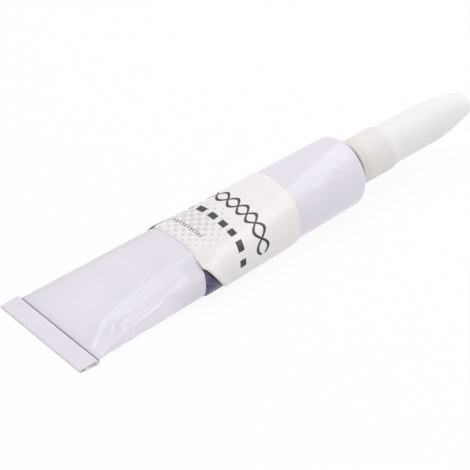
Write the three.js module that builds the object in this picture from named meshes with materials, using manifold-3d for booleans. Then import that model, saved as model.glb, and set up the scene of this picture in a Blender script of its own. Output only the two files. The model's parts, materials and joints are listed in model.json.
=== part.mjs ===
// A collapsible aluminium tube of glue, lying on its side, with a folded tail, a wrapped label,
// an applicator nozzle and a long hollow screw cap. Millimetres, +Z up, +X towards the cap.
// Each piece is shaped about the tube's own axis, which is X, with x = 0 where the tail is folded.
// The last section tilts the whole so that it lies on its folded tail and its label.
import * as THREE from 'three';
import { mergeVertices } from 'three/addons/utils/BufferGeometryUtils.js';
import Module from 'manifold-3d';

const wasm = await Module();
wasm.setup();

// Driving dimensions: tube body
const TUBE_DIAMETER = 16; // outside, where the body meets the shoulder
const TUBE_WALL = 0.15; // aluminium sheet
const BODY_LENGTH = 73.6; // from the fold line to the shoulder
const TAIL_DROP = 0.96; // the flattened tail lies this far below the axis
const TAIL_FILL = 0.2; // sealing compound between the walls at the fold line
const SHOULDER_ROUND = 2.2; // radius of the shoulder's edge
const SHOULDER_RISE = THREE.MathUtils.degToRad(30); // slope of the shoulder's cone, from a flat disc
const NECK_DIAMETER = 7.8;
const NECK_WALL = 0.9;
const NECK_LENGTH = 7;

// Driving dimensions: folded tail
const FOLD_DEPTH = 4.7; // fold line to the outer bend
const FOLD_EAR = 0.43; // the pressed flap stands this far out past the flattened wall, each side
const FOLD_GAP = 0.2; // air between the folded layers
const FOLD_SINK = 0.65; // the lowest layer's middle lies this far below the fold line

// Driving dimensions: contents
const TAIL_SOLID = 1; // the cavity ends this far from the fold line
const SEAL_LENGTH = 3;
const FILL_CLEARANCE = 0.1; // between the filling or its seal and the wall

// Driving dimensions: label
const LABEL_SETBACK = 18.35; // front edge to the shoulder, at the height of the axis
const LABEL_WIDTH = 24.75;
const LABEL_THICKNESS = 0.2;
const LABEL_CLEARANCE = 0.1; // under each layer of the strip
const LABEL_SKEW = 0.13; // the strip leans this much along the axis for each millimetre across
const LABEL_PITCH = 0.21; // and this much for each millimetre up
const LABEL_CORNER = 11; // corner radius of the lapped end
const LABEL_CORNER_SHARE = 0.45; // most of the strip's width that one corner may take

// Driving dimensions: nozzle
const PLUG_SETBACK = 2; // plug's bottom above the neck's base
const PLUG_CLEARANCE = 0.08;
const FLANGE_THICKNESS = 0.8;
const FLANGE_SETBACK = 0.15; // inside the neck's rim
const SPOUT_LENGTH = 20.6; // flange to tip
const FLANGE_LEDGE = 0.95; // flange's edge to the spout's base
const SPOUT_TIP_WALL = 0.65;
const SPOUT_WALL = 0.8; // round the wide part of the bore
const SEAT_GAP = 0.1; // between faces that rest on each other

// Driving dimensions: cap and its pin
const THREAD_CLEARANCE = 0.25; // collar over neck
const COLLAR_WALL = 0.95;
const RIM_GAP = 0.3; // collar's rim above the shoulder
const CAP_HEADROOM = 0.4; // collar's bore past the nozzle's flange
const CAP_TAPER_LENGTH = 3.6; // collar to barrel
const SPOUT_ROOM = 0.825; // spout's base to the barrel's bore
const BARREL_DRAFT = 0.08; // the barrel's radius shrinks this much along its length
const CAP_WALL = 0.95;
const NOSE_LENGTH = 11.6; // the cap's tapered end
const NOSE_TIP_DIAMETER = 5.1; // the nose's cone at the tip, before the edge is rounded
const NOSE_ROUND = 1.9; // radius of the tip's edge
const TIP_CLEARANCE = 0.6; // spout's tip to the pin's boss
const BOSS_HEIGHT = 2.3;
const BOSS_WALL = 0.6; // round the pin
const END_WALL = 4; // cavity's end to the cap's tip
const PIN_DIAMETER = 0.9;
const PIN_CLEARANCE = 0.05; // in its hole
const PIN_ROOM = 0.3; // in the spout's bore
const PIN_SEAT = 2.8; // depth of the pin's hole
const PIN_REACH = 8; // pin inside the spout

// Facets
const HALF_SIDES = 32; // each half of a tube section
const CAP_SIDES = 48;
const NOZZLE_SIDES = 32;
const PIN_SIDES = 16;
const ROUND_STEPS = 5;
const BEND_STEPS = 4;
const TAPER_STEPS = 6;
const LAP_FROM = 6; // the label starts this many facets below the top of the near side
const CLIMB_FROM = 2; // and climbs over its start from here
const CORNER_FROM = 3; // the lapped end narrows from here
const LAP_TO = 26; // and ends here
const MERGE_DISTANCE = 1e-4;

// Places that several pieces share
const tubeRadius = TUBE_DIAMETER / 2;
const tailHalfHeight = TUBE_WALL + TAIL_FILL / 2;
const bodySlope = (tubeRadius - tailHalfHeight) / BODY_LENGTH;
const neckRadius = NECK_DIAMETER / 2;
const boreRadius = neckRadius - NECK_WALL;
const neckBase = shoulderProfile(0, neckRadius).at(-1).x;
const neckTop = neckBase + NECK_LENGTH;
const plugBottom = neckBase + PLUG_SETBACK;
const flangeBottom = neckTop + SEAT_GAP;
const flangeTop = flangeBottom + FLANGE_THICKNESS;
const flangeRadius = neckRadius - FLANGE_SETBACK;
const spoutBaseRadius = flangeRadius - FLANGE_LEDGE;
const spoutTip = flangeTop + SPOUT_LENGTH;
const bossBottom = spoutTip + TIP_CLEARANCE;
const capCavityEnd = bossBottom + BOSS_HEIGHT;
const capTip = capCavityEnd + END_WALL;
const pinHoleEnd = bossBottom + PIN_SEAT;
const layer = 2 * TUBE_WALL;
const layerPitch = layer + FOLD_GAP;
const foldUnderside = FOLD_SINK + layer / 2;
const labelEnd = BODY_LENGTH - LABEL_SETBACK;
const labelStart = labelEnd - LABEL_WIDTH;
const labelMiddle = (labelStart + labelEnd) / 2;
const labelTop = LABEL_CLEARANCE + LABEL_THICKNESS;
const fillInset = TUBE_WALL + FILL_CLEARANCE;
const sealStart = TAIL_SOLID + FILL_CLEARANCE;
const sealEnd = sealStart + SEAL_LENGTH;

// Half the height of the body's section at x: it grows evenly from the fold line to the shoulder
function halfHeight(x) {
  return tailHalfHeight + bodySlope * x;
}

// The sheet can't stretch, so every section keeps the girth of the round end: two half circles and two flats
function halfFlat(x) {
  return (Math.PI / 2) * (tubeRadius - halfHeight(x));
}

function midHeight(x) {
  return -TAIL_DROP * (1 - x / BODY_LENGTH);
}

// A point on the body's section at x, on one side of it (+1 or -1), at an angle up from level
function bodyPoint(x, side, angle, offset) {
  const radius = halfHeight(x) + offset;
  const y = side * (halfFlat(x) + radius * Math.cos(angle));
  return new THREE.Vector3(x, y, midHeight(x) + radius * Math.sin(angle));
}

// Angles from the bottom of a half section to its top
function halfAngles() {
  return Array.from({ length: HALF_SIDES + 1 }, (_, i) => Math.PI * (i / HALF_SIDES - 0.5));
}

function bodyRing(x, inset) {
  const angles = halfAngles();
  const far = angles.map((angle) => bodyPoint(x, 1, angle, -inset));
  const near = angles.reverse().map((angle) => bodyPoint(x, -1, angle, -inset));
  return [...far, ...near];
}

function roundRing({ x, radius }) {
  const angles = halfAngles();
  const far = angles.map((a) => new THREE.Vector3(x, radius * Math.cos(a), radius * Math.sin(a)));
  const near = angles.reverse().map((a) => new THREE.Vector3(x, -radius * Math.cos(a), radius * Math.sin(a)));
  return [...far, ...near];
}

// The shoulder, this far inside its outer face: a rounded edge, then a cone down to endRadius
function shoulderProfile(inset, endRadius) {
  const round = SHOULDER_ROUND - inset;
  const sweep = Math.PI / 2 - SHOULDER_RISE;
  const profile = [];
  for (let i = 0; i <= ROUND_STEPS; i++) {
    const angle = (sweep * i) / ROUND_STEPS;
    profile.push({
      x: BODY_LENGTH + round * Math.sin(angle),
      radius: tubeRadius - SHOULDER_ROUND + round * Math.cos(angle),
    });
  }
  const edge = profile.at(-1);
  profile.push({ x: edge.x + (edge.radius - endRadius) * Math.tan(SHOULDER_RISE), radius: endRadius });
  return profile;
}

// Joins coincident points, drops triangles that have no area and turns the faces out
function closedGeometry(geometry) {
  geometry.deleteAttribute('normal');
  geometry.deleteAttribute('uv');
  const merged = mergeVertices(geometry, MERGE_DISTANCE);
  const corner = (i) => new THREE.Vector3().fromBufferAttribute(merged.attributes.position, i);
  const faces = [];
  let volume = 0;
  for (let i = 0; i < merged.index.count; i += 3) {
    const [a, b, c] = [0, 1, 2].map((k) => merged.index.getX(i + k));
    if (a !== b && b !== c && c !== a) {
      faces.push([a, b, c]);
      volume += corner(a).dot(corner(b).cross(corner(c)));
    }
  }
  merged.setIndex(faces.flatMap((face) => (volume < 0 ? face.reverse() : face)));
  return merged;
}

// A closed solid through rings of equally many points, with flat ends
function loft(rings) {
  const count = rings[0].length;
  const last = (rings.length - 1) * count;
  const index = [];
  for (let j = 1; j < count - 1; j++) {
    index.push(0, j + 1, j, last, last + j, last + j + 1);
  }
  for (let i = 0; i < rings.length - 1; i++) {
    for (let j = 0; j < count; j++) {
      const a = i * count + j;
      const b = i * count + ((j + 1) % count);
      index.push(a, b, b + count, a, b + count, a + count);
    }
  }
  const geometry = new THREE.BufferGeometry().setFromPoints(rings.flat());
  geometry.setIndex(index);
  return closedGeometry(geometry);
}

// A solid of revolution about the tube's axis
function revolve(profile, sides) {
  const points = profile.map(({ x, radius }) => new THREE.Vector2(radius, x));
  const geometry = new THREE.LatheGeometry(points, sides);
  geometry.rotateZ(-Math.PI / 2);
  return closedGeometry(geometry);
}

function manifoldOf(geometry) {
  const vertProperties = new Float32Array(geometry.attributes.position.array);
  const triVerts = new Uint32Array(geometry.index.array);
  return new wasm.Manifold(new wasm.Mesh({ numProp: 3, vertProperties, triVerts }));
}

function joined(first, second) {
  const { vertProperties, triVerts } = manifoldOf(first).add(manifoldOf(second)).getMesh();
  const geometry = new THREE.BufferGeometry();
  geometry.setAttribute('position', new THREE.BufferAttribute(vertProperties, 3));
  geometry.setIndex(new THREE.BufferAttribute(triVerts, 1));
  return geometry;
}

// The outline of a sheet of this thickness that follows a centre line
function sheetOutline(centreLine, thickness) {
  const offsets = centreLine.map((point, i) => {
    const before = point.clone().sub(centreLine[Math.max(i - 1, 0)]).normalize();
    const after = centreLine[Math.min(i + 1, centreLine.length - 1)].clone().sub(point).normalize();
    const along = before.add(after).normalize();
    return new THREE.Vector2(-along.y, along.x).multiplyScalar(thickness / 2);
  });
  const left = centreLine.map((point, i) => point.clone().add(offsets[i]));
  const right = centreLine.map((point, i) => point.clone().sub(offsets[i]));
  return [...left, ...right.reverse()];
}

// Folded tail: both walls drop to the lowest layer, turn over at the outer bend, come back on top and
// tuck under again, so that the cut end lies between the other two layers
function foldedTail() {
  const step = FOLD_SINK / 2;
  const outerBend = layerPitch;
  const innerBend = layerPitch / 2;
  const outerCentre = -(FOLD_DEPTH - outerBend - layer / 2);
  const innerCentre = -(layerPitch + innerBend);
  const topLayer = 2 * layerPitch - FOLD_SINK;
  const middleLayer = layerPitch - FOLD_SINK;
  const line = new THREE.Path();
  line.moveTo(step + TAIL_SOLID / 4, 0);
  line.lineTo(step, 0);
  line.absarc(step, -step, step, Math.PI / 2, Math.PI, false);
  line.absarc(-step, -step, step, 0, -Math.PI / 2, true);
  line.lineTo(outerCentre, -FOLD_SINK);
  line.absarc(outerCentre, middleLayer, outerBend, -Math.PI / 2, -1.5 * Math.PI, true);
  line.lineTo(innerCentre, topLayer);
  line.absarc(innerCentre, topLayer - innerBend, innerBend, Math.PI / 2, -Math.PI / 2, true);
  line.lineTo(outerCentre, middleLayer);
  const outline = new THREE.Shape(sheetOutline(line.getPoints(BEND_STEPS), layer));
  const width = Math.PI * tubeRadius + 2 * FOLD_EAR;
  const geometry = new THREE.ExtrudeGeometry(outline, { depth: width, bevelEnabled: false });
  geometry.translate(0, 0, -width / 2);
  geometry.rotateX(Math.PI / 2);
  geometry.rotateY(restTilt());
  geometry.translate(0, 0, -TAIL_DROP);
  return closedGeometry(geometry);
}

// One shell: up the outside from the tail to the neck's rim, then down the inside to the cavity's end
function tubeBody() {
  const outside = shoulderProfile(0, neckRadius);
  const inside = shoulderProfile(TUBE_WALL, boreRadius).reverse();
  const rim = [neckRadius, boreRadius].map((radius) => ({ x: neckTop, radius }));
  const shell = loft([
    bodyRing(0, 0),
    ...[...outside, ...rim, ...inside].map(roundRing),
    bodyRing(TAIL_SOLID, TUBE_WALL),
  ]);
  return joined(shell, foldedTail());
}

function endSeal() {
  return loft([bodyRing(sealStart, fillInset), bodyRing(sealEnd, fillInset)]);
}

function glueGel() {
  const shoulder = shoulderProfile(fillInset, boreRadius - FILL_CLEARANCE);
  const top = { x: plugBottom - SEAT_GAP, radius: boreRadius - FILL_CLEARANCE };
  return loft([bodyRing(sealEnd + FILL_CLEARANCE, fillInset), ...[...shoulder, top].map(roundRing)]);
}

// How far the label's strip is moved along the axis, at a place round the tube
function labelLean(side, angle) {
  const { y, z } = bodyPoint(labelMiddle, side, angle, 0);
  return LABEL_SKEW * y + LABEL_PITCH * z;
}

// The label starts near the top of the near side and goes once round, under the tube and back over the top.
// It then climbs over its own start and ends low on the near side with rounded corners.
function wrapLabel() {
  const corner = Math.min(LABEL_CORNER, LABEL_CORNER_SHARE * LABEL_WIDTH);
  const lift = LABEL_THICKNESS + LABEL_CLEARANCE;
  const strip = [];

  function addColumn(side, step, raise, cut) {
    const angle = Math.PI * (0.5 - step / HALF_SIDES);
    const lean = labelLean(side, angle);
    const start = labelStart + lean + cut;
    const end = labelEnd + lean - cut;
    const under = LABEL_CLEARANCE + raise;
    const over = under + LABEL_THICKNESS;
    strip.push([
      bodyPoint(start, side, angle, under),
      bodyPoint(end, side, angle, under),
      bodyPoint(end, side, angle, over),
      bodyPoint(start, side, angle, over),
    ]);
  }

  for (let step = LAP_FROM; step <= HALF_SIDES; step++) {
    addColumn(-1, step, 0, 0);
  }
  for (let step = HALF_SIDES; step >= 0; step--) {
    addColumn(1, step, 0, 0);
  }
  for (let step = 0; step <= LAP_TO; step++) {
    const climb = THREE.MathUtils.clamp((step - CLIMB_FROM) / (LAP_FROM - 1 - CLIMB_FROM), 0, 1);
    const turn = Math.max(0, (step - CORNER_FROM) / (LAP_TO - CORNER_FROM));
    addColumn(-1, step, lift * climb, corner * (1 - Math.sqrt(1 - turn * turn)));
  }
  return loft(strip);
}

function nozzle() {
  const plugRadius = boreRadius - PLUG_CLEARANCE;
  const spoutBore = PIN_DIAMETER / 2 + PIN_ROOM;
  const tipRadius = spoutBore + SPOUT_TIP_WALL;
  const tipEdge = SPOUT_TIP_WALL / 2;
  const wideBore = spoutBaseRadius - SPOUT_WALL;
  return revolve([
    { x: plugBottom, radius: plugRadius - SPOUT_WALL / 2 },
    { x: plugBottom + SPOUT_WALL, radius: plugRadius },
    { x: flangeBottom, radius: plugRadius },
    { x: flangeBottom, radius: flangeRadius },
    { x: flangeTop, radius: flangeRadius },
    { x: flangeTop, radius: spoutBaseRadius },
    { x: spoutTip - tipEdge, radius: tipRadius },
    { x: spoutTip, radius: tipRadius - tipEdge },
    { x: spoutTip, radius: spoutBore },
    { x: spoutTip - PIN_REACH, radius: spoutBore },
    { x: flangeTop, radius: wideBore },
    { x: plugBottom, radius: wideBore },
    { x: plugBottom, radius: plugRadius - SPOUT_WALL / 2 },
  ], NOZZLE_SIDES);
}

// The shoulder's cone, at a radius
function shoulderPlace(radius) {
  return shoulderProfile(0, radius).at(-1).x;
}

const collarBore = neckRadius + THREAD_CLEARANCE;
const collarRadius = collarBore + COLLAR_WALL;
const capRim = shoulderPlace(collarBore) + RIM_GAP;
const collarEnd = flangeTop + CAP_HEADROOM;
const barrelRadius = spoutBaseRadius + SPOUT_ROOM + CAP_WALL;
const noseStart = capTip - NOSE_LENGTH;
const noseRadius = barrelRadius - BARREL_DRAFT;
const noseSlope = (noseRadius - NOSE_TIP_DIAMETER / 2) / NOSE_LENGTH;

// Smooth change from the collar to the barrel, for the outside or the bore
function capTaper(fromRadius, toRadius) {
  return Array.from({ length: TAPER_STEPS + 1 }, (_, i) => {
    const along = i / TAPER_STEPS;
    const radius = THREE.MathUtils.lerp(fromRadius, toRadius, THREE.MathUtils.smoothstep(along, 0, 1));
    return { x: collarEnd + CAP_TAPER_LENGTH * along, radius };
  });
}

// The cap's tip: the nose's cone runs into a rounded edge and a flat end
function capNose() {
  const lean = Math.atan(noseSlope);
  const centreX = capTip - NOSE_ROUND;
  const coneRadius = noseRadius - noseSlope * (centreX - noseStart);
  const centreRadius = coneRadius - NOSE_ROUND / Math.cos(lean);
  const edge = Array.from({ length: ROUND_STEPS + 1 }, (_, i) => {
    const angle = (Math.PI / 2 - lean) * (1 - i / ROUND_STEPS);
    return {
      x: centreX + NOSE_ROUND * Math.cos(angle),
      radius: centreRadius + NOSE_ROUND * Math.sin(angle),
    };
  });
  return [{ x: noseStart, radius: noseRadius }, ...edge, { x: capTip, radius: 0 }];
}

function cap() {
  const pinHole = PIN_DIAMETER / 2 + PIN_CLEARANCE;
  const bossRadius = pinHole + BOSS_WALL;
  const cavityRadius = noseRadius - noseSlope * (capCavityEnd - noseStart) - CAP_WALL;
  return revolve([
    { x: pinHoleEnd, radius: 0 },
    { x: pinHoleEnd, radius: pinHole },
    { x: bossBottom, radius: pinHole },
    { x: bossBottom, radius: bossRadius },
    { x: capCavityEnd, radius: bossRadius },
    { x: capCavityEnd, radius: cavityRadius },
    { x: noseStart, radius: noseRadius - CAP_WALL },
    ...capTaper(collarBore, barrelRadius - CAP_WALL).reverse(),
    { x: capRim, radius: collarBore },
    { x: capRim, radius: collarRadius },
    ...capTaper(collarRadius, barrelRadius),
    ...capNose(),
  ], CAP_SIDES);
}

function sealingPin() {
  const radius = PIN_DIAMETER / 2;
  const top = pinHoleEnd - SEAT_GAP;
  const point = spoutTip - PIN_REACH;
  return revolve([
    { x: point, radius: 0 },
    { x: point, radius: radius / 2 },
    { x: point + radius, radius },
    { x: top, radius },
    { x: top, radius: 0 },
  ], PIN_SIDES);
}

// The tilt at which a point at x, this far below the axis, meets the plane of the fold's underside
function tiltOver(x, below) {
  const drop = below - TAIL_DROP;
  return Math.atan2(drop, x) - Math.asin(foldUnderside / Math.hypot(x, drop));
}

// The tube lies on its fold and on whichever is lower, the label's front edge or the shoulder
function restTilt() {
  const front = labelEnd + labelLean(1, -Math.PI / 2);
  const labelUnder = halfHeight(front) + labelTop - midHeight(front);
  return Math.max(tiltOver(front, labelUnder), tiltOver(BODY_LENGTH, tubeRadius));
}

// Assembly
const lacquer = { color: 0xe6e0ec, roughness: 0.3, metalness: 0.1 };
const sealant = { color: 0xd8c9a0, roughness: 0.7, metalness: 0 };
const gel = { color: 0xf2eee2, roughness: 0.25, metalness: 0 };
const paper = { color: 0xf1edec, roughness: 0.55, metalness: 0 };
const polyethylene = { color: 0xefeae8, roughness: 0.45, metalness: 0 };
const steel = { color: 0xb9bcc0, roughness: 0.25, metalness: 1 };

const tube = new THREE.Group();

function addPiece(name, geometry, finish) {
  geometry.computeVertexNormals();
  const mesh = new THREE.Mesh(geometry, new THREE.MeshStandardMaterial(finish));
  mesh.name = name;
  tube.add(mesh);
}

addPiece('tube_body', tubeBody(), lacquer);
addPiece('end_seal', endSeal(), sealant);
addPiece('glue_gel', glueGel(), gel);
addPiece('wrap_label', wrapLabel(), paper);
addPiece('nozzle', nozzle(), polyethylene);
addPiece('cap', cap(), polyethylene);
addPiece('sealing_pin', sealingPin(), steel);

// Lie the tube down, with the origin under the middle of its box
tube.rotation.y = -restTilt();
tube.updateMatrixWorld(true);
const box = new THREE.Box3().setFromObject(tube, true);
const middle = box.getCenter(new THREE.Vector3());
tube.position.set(-middle.x, -middle.y, -box.min.z);

const glueTube = new THREE.Group();
glueTube.add(tube);

export default glueTube;
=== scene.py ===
"""A collapsible glue tube with a folded tail, a wrapped label and a long frosted screw cap.

Shapes are worked out in the tube's own frame, in millimetres: x runs along the axis from the fold line of the
tail towards the cap, y goes across the flat tail with the near side at minus y, and z is up.
"""
import json
import math

import bmesh
import bpy
import numpy as np
from mathutils import Matrix, Vector


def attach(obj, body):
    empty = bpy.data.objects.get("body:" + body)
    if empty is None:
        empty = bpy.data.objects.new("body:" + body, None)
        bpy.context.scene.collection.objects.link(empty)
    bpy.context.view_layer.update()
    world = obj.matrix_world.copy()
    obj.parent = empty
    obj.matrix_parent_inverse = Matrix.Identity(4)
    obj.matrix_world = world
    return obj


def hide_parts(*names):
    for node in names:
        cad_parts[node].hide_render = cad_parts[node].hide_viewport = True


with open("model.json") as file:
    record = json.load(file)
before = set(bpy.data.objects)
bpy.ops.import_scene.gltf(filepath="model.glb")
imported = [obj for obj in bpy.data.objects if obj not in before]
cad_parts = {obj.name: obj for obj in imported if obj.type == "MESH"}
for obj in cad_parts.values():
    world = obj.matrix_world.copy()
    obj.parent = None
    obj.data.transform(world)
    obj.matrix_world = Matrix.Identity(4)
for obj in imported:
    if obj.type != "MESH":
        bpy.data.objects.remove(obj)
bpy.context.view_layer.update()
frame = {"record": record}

# The tube's own frame
MM = 0.001
SAME_POINT = 1e-7  # metres within which two points of a mesh are one
NO_EDGE = 1e-8  # metres below which an edge is none
PIN_MARK = 101.723  # where the cap's joint sits on the axis, from the fold line
cap_joint = next(joint for joint in frame["record"]["behaviour"]["joints"] if joint["name"] == "cap_turn")
AXIS = np.array(cap_joint["axis"], float)
AXIS /= np.linalg.norm(AXIS)
ACROSS = np.array([0.0, 1.0, 0.0])
RISE = np.cross(AXIS, ACROSS)
ORIGIN = np.array(cap_joint["pos_m"], float) - AXIS * PIN_MARK * MM

# The body's sizes in millimetres, the same as the solids
RADIUS = 8.0
BODY_LENGTH = 73.6
TAIL_HALF = 0.25
TAIL_TIGHT = 0.15
TAIL_TIGHT_RUN = 2.0
TAIL_DROP = 0.96
WALL = 0.15
WALL_ROOM = 0.02  # the half height that is left inside the wall where the tail is flat
HALF_GIRTH = math.pi * RADIUS
SHOULDER_ROUND = 2.2
SHOULDER_TRIM = 0.01  # the solid's shoulder has flat facets, and this keeps the round one inside them
SHOULDER_RISE = math.radians(30)

# The neck and its screw thread
NECK_RADIUS = 3.9
NECK_ROOT = 3.5
NECK_BORE = 3.0
NECK_BASE = 77.237
NECK_TOP = 84.237
NECK_SPAN = (NECK_BASE + 0.4, NECK_TOP - 0.25, 52)  # start, end and the number of rows
LIP_ROUND = 0.1
THREAD_PITCH = 1.35
THREAD_STEEP = 2.2  # how steep its sides are
THREAD_ROOT = 0.6  # how wide its root is
NECK_THREAD = (78.2, 83.6, 0.9)  # its start, its end and the length over which it fades there

# The near crease: where it starts at each x, off the middle line, and how wide its step is
CREASE_X = [0.0, 1.4, 4.2, 7.2, 9.6, 11.4, 16.8, 23.0, 30.0, 44.0]
CREASE_START = [10.7, 9.2, 6.8, 4.9, 4.3, 3.9, 3.1, 2.8, 3.0, 3.6]
CREASE_WIDTH = [0.3, 0.4, 0.9, 1.2, 1.5, 2.3, 2.9, 2.8, 2.5, 2.3]
CREASE_STEEP = 0.38
CREASE_RUN_IN = 2.5
CREASE_FADE = (26.0, 10.0)  # where it starts to fade towards the cap, and over what length
CREASE_STRAIGHT = 0.7  # the share of its step that is straight; the rest eases in and out
CREASE_BLUR = 0.3  # how softly its step meets the wall, as a share of its depth
LEAST_BLUR = 0.001
LEAST_HEIGHT = 0.2  # what the crease leaves of the height above the middle, at least

# The sloping flank on the near side of the tail
FLANK_TURN = 2.3  # how far round the near edge it ends, in radians
FLANK_SLOPE = 1.0
FLANK_ROUND = 0.2  # how slowly it drops below its crest
FLANK_RUN_IN = 3.0
FLANK_FADE = (20.0, 10.0)
FLANK_OUT = (0.74, 0.67)  # the direction out of its surface, in y and z
FLANK_BEGIN = 0.3  # the share of the way down at which that direction is reached
FLANK_LATE = 0.8  # the share from which it turns to the direction at the foot

# Dents in the wall, on the sheet of x along the axis and g along the girth, and how far each stands out
DENT_WAVES = [  # height, then two sines as rate along x, rate along g and phase
    (0.025, (0.62, 0.4, 0.0), (0.21, -0.33, 1.1)),
    (0.02, (0.37, 0.0, 1.3), (0.0, 0.55, 0.6)),
]
DENT_LINES = [  # start, end, width, height
    ((8.0, 10.2), (9.6, 6.7), 0.22, 0.16),
    ((6.4, 9.6), (8.6, 6.8), 0.5, -0.14),
    ((9.4, 9.0), (12.0, 7.6), 0.6, -0.11),
    ((3.4, 9.9), (8.2, 10.5), 0.26, 0.14),
    ((7.2, 10.5), (21.6, 9.6), 0.4, 0.10),
    ((21.2, 9.0), (30.0, 9.3), 0.45, 0.08),
    ((58.0, 4.6), (71.0, 6.6), 0.9, -0.06),
    ((62.0, 2.6), (72.8, 4.7), 0.5, 0.04),
    ((4.0, -9.5), (16.0, -5.0), 0.7, -0.06),
    ((8.0, -10.0), (27.0, -8.6), 0.6, 0.06),
]
LINE_ENDS = 0.25  # the share of a line's length over which each end fades
WAVE_FADE = 9.0
HOLLOW = (-9.5, 3.5, -0.3)  # the far side under the label: middle, half width and height
HOLLOW_SPAN = (31.0, 58.0, 6.0)
BUMP_SPOT = (71.0, 4.4)
BUMP_SIZE = (0.9, 0.7)
BUMP_HEIGHT = 0.05
DENT_REACH = (20.0, 4.0)  # how far round the girth dents go, and over what length they end
DENT_RUN_IN = 3.0
DENT_RUN_OUT = 2.0

# The folded tail
FOLD_HALF = HALF_GIRTH / 2 + 0.43
FOLD_DEPTH = 4.7
FOLD_INNER = -0.6  # where the upper layer turns back
FOLD_HEIGHT = 1.14  # the upper layer's middle line above the floor, at its inner edge
FOLD_SLACK = 0.02  # what is left free of its depth
FLOOR_GAP = 0.002
SHEET = 0.3  # the thickness of a layer
TUCKED_HALF = 0.14
ROOT_HALF = 0.11
ROOT_THIN = 3  # how many points of the root have that half thickness
ROOT_NARROW = ([0.1, 0.5], [1.0, 0.955])  # the root's x, and its share of the full width there
BEND = 0.22
TUCK = 0.23
FOLD_ROWS = 61
FOLD_WAVES = [(0.03, 2.1, 0.5), (0.02, 7.0, 0.0)]  # height, rate across the tail and phase
FOLD_SPLAY = 0.06
FOLD_LIFT = 1.3  # the height at which the waves and the splay act in full
FOLD_RIPPLE = 0.6  # how much of the waves goes upwards
# The fold's layers get painted shade in the gaps between them; the next number is how many points beside the
# root are left unshaded
GAP_SHADE_SKIP = 2  # how many points beside the root stay clean

# The label: a strip wrapped once round the tube, with its outer end lapped over its inner end
LABEL_WIDTH = 24.75
LABEL_BACK = (31.1, 0.06, 0.12, -0.016)  # the edge towards the tail: its x, its lean with y and z, its bow
LABEL_FRONT = (55.9, 0.04, 0.1, -0.011)
LABEL_OFF = 0.1
LABEL_THICK = 0.2
LABEL_ROWS = 40
LABEL_COLUMNS = 260
TURN = 2 * HALF_GIRTH
LAP_START = 7.8
LAP_END = TURN + 16.0
LAP_CLIMB = 0.3
LAP_RAMP = (TURN + 4.0, 4.0)  # where the outer end starts to climb over the inner one, and over what length
CORNER_RUN = 8.0
CORNER_START = TURN + CORNER_RUN
CORNER_LEAN = 0.93
CORNER_SOFT = 1.2
END_ROUND = 3.0
EDGE_SETTLE = (0.08, 0.8)  # how far the side edges lie closer to the wall, and from what distance
EDGE_FEATHER = (0.11, 0.5)
LOOSE_WIDTH = 2.2
LOOSE_LIFT = 0.2
LOOSE_RUN_IN = 4.0
LOOSE_RUN_OUT = (LAP_END - 0.5, 2.0)  # where the lapped corner lies flat again, and over what length
GLUE_MARGIN = 0.42  # the width of the strip of dried adhesive along the lapped corner
GLUE_START = CORNER_START + 0.4
FULL_TURN = 0.999  # the share of the end's round that is drawn

# The label's print, in millimetres along the strip and across it from the tail's side
PRINT_UNIT = 100.0  # millimetres to one unit of the strip's texture map
INK_EDGE = 0.1
INK_AREA = (52.3, 10.2)  # middle and half length of the printed area
DOT_PITCH = (2.2, 1.05)
DOT_ALONG = (46.0, 8.0, 14.0)  # where the dots swell: middle, half length and softness
DOT_ACROSS = (6.0, 5.5, 9.0)
DOT_RADIUS = 0.72
DOT_LEAST = 0.06
BRAID_LINE = 14.6
BRAID_SWAY = 1.35
BRAID_HALF = 0.36
DASH_ROW = (9.3, 0.75, INK_EDGE)  # middle, half width and softness
DASH_PITCH = 3.4
DASH_SHARE = (0.6, 0.03)  # the inked share of a pitch, and its softness
TICK_ROW = (3.9, 0.4, 0.08)
TICK_PITCH = 0.8
TICK_SHARE = (0.5, 0.1)
TICK_END = 52.0
TICK_TONE = 0.7
PANEL_END = (41.8, 0.15)
PANEL_WIDTH = 10.5
PANEL_EDGE = 0.12
PANEL_WAVE = 0.5
PANEL_WAVE_RATE = 0.5
# A painted shadow on the purple panel, along the lapped corner's edge
LAP_SHADOW_BAND = (0.2, 0.35, 0.5)  # past the lapped corner's edge: middle, half width and softness
LAP_SHADOW_END = (17.0, 0.5)

# Painted shade, a painted grazing reflection and a stain on the lacquer and the polyethylene: mostly a limit
# in millimetres and its softness
# A painted grey rim of grazing reflection along the body's far edge
FAR_RIM_LEAN = -0.14  # how fast the body's far edge runs in, along the tube
FAR_RIM_EDGE = (-11.6, 3.0)
FAR_RIM_END = (36.0, 8.0)
# Painted shade in the crease at the fold's root: a soft band and a darker line
FOLD_SHADE = (0.7, 1.6)
FOLD_CREASE_SHADE = (0.14, 0.2)
# How softly the painted shade over the collar fades
COLLAR_BLUR = 2.6
MOUTH_STAIN = (79.2, 2.0)

# The turned pieces, as corners of x, radius and the corner's round
COLLAR_RADIUS = 5.1
COLLAR_STEP = (85.5, 3.64, 0.525)  # start, length and depth of the step from the collar to the barrel
STEP_SHARES = (0.08, 0.92, 8)  # first and last share of that step that is drawn, and the number of points
CAP_MOUTH = [(77.393, 4.3, 0.1), (77.393, COLLAR_RADIUS, 0.25), (85.3, COLLAR_RADIUS, 0.5)]
CAP_BARREL = [
    (89.137, 4.575, 0), (101.037, 4.495, 2.0), (104.6, 4.1, 4.0), (108.2, 3.45, 4.0),
    (112.3, 2.5, 1.7), (112.3, 0.0, 0),
]
CAP_INSIDE = [
    (109.137, 0.0, 0), (109.137, 0.5, 0.0), (106.337, 0.5, 0.1), (106.337, 1.1, 0.15),
    (108.637, 1.3, 0.2), (108.637, 2.27, 0.4), (101.037, 3.5, 0.5), (89.3, 3.6, 0.3), (85.6, 4.0, 0.2),
]
CAP_BORE = 4.2
CAP_BORE_SPAN = (85.3, 77.8, 90)
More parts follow.
